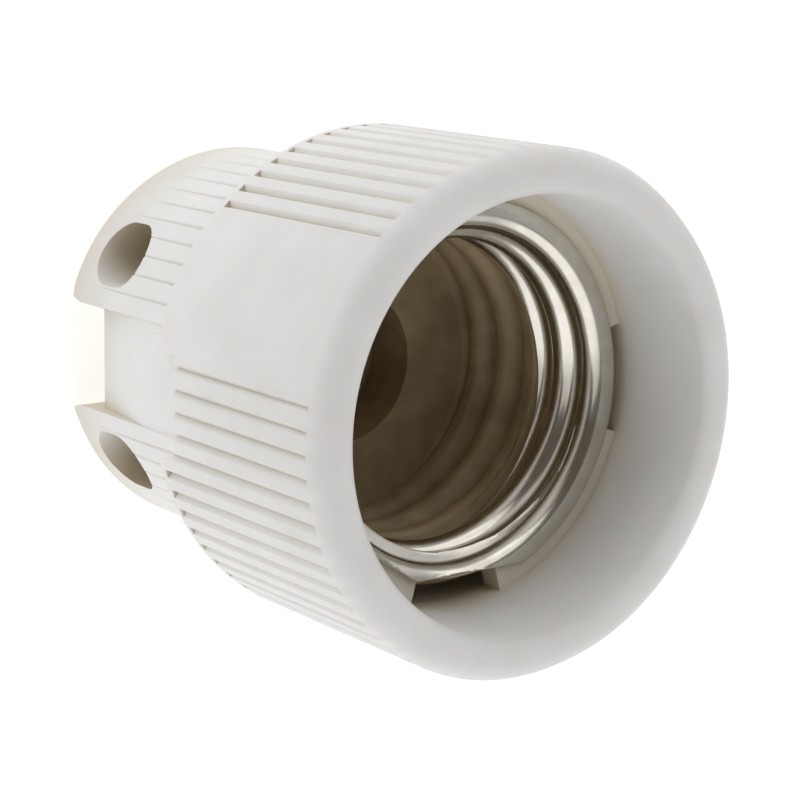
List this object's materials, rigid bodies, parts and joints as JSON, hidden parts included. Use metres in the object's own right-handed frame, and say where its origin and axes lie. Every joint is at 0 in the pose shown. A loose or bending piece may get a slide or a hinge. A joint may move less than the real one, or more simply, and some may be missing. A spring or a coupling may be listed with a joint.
{
  "type": "screw-base lampholder",
  "caption": "Two-piece white lampholder: ribbed sleeve with a plated screw shell, twist-locked onto a ribbed tail with two drilled ears and a cable way between them.",
  "frame": {"origin": "on the lampholder's axis, in the plane of the ends of the ears", "axes": "+Z along the axis out of the lamp mouth, +X out of the flat between the ears that carries the stop rib, ears on the +Y and -Y sides"},
  "size_m": [0.0406, 0.0404, 0.044],
  "materials": {
    "white_moulding": "satin moulded thermoplastic, very slightly grained",
    "nickel_plate": "bright nickel-plated sheet",
    "beige_moulding": "matte heat-resistant moulding",
    "contact_brass": "rolled spring strip",
    "terminal_brass": "cut bar, plain",
    "zinc_steel": "zinc-plated screws"
  },
  "bodies": {
    "tail": {"tail_piece": "white_moulding"},
    "front": {"sleeve": "white_moulding", "thread_shell": "nickel_plate", "contact_carrier": "beige_moulding", "side_contact": "contact_brass", "live_terminal": "terminal_brass", "neutral_terminal": "terminal_brass", "terminal_screws": "zinc_steel"},
    "contact": {"centre_contact": "contact_brass"}
  },
  "joints": [
    {"name": "twist_lock", "type": "hinge", "parent": "tail", "child": "front", "pos_m": [0, 0, 0.0241], "axis": [0, 0, 1], "range_deg": [-18, 0]},
    {"name": "contact_press", "type": "hinge", "parent": "front", "child": "contact", "pos_m": [0, 0.0083, 0.0137], "axis": [1, 0, 0], "range_deg": [0, 8], "stiffness_Nm_per_rad": 0.3}
  ]
}
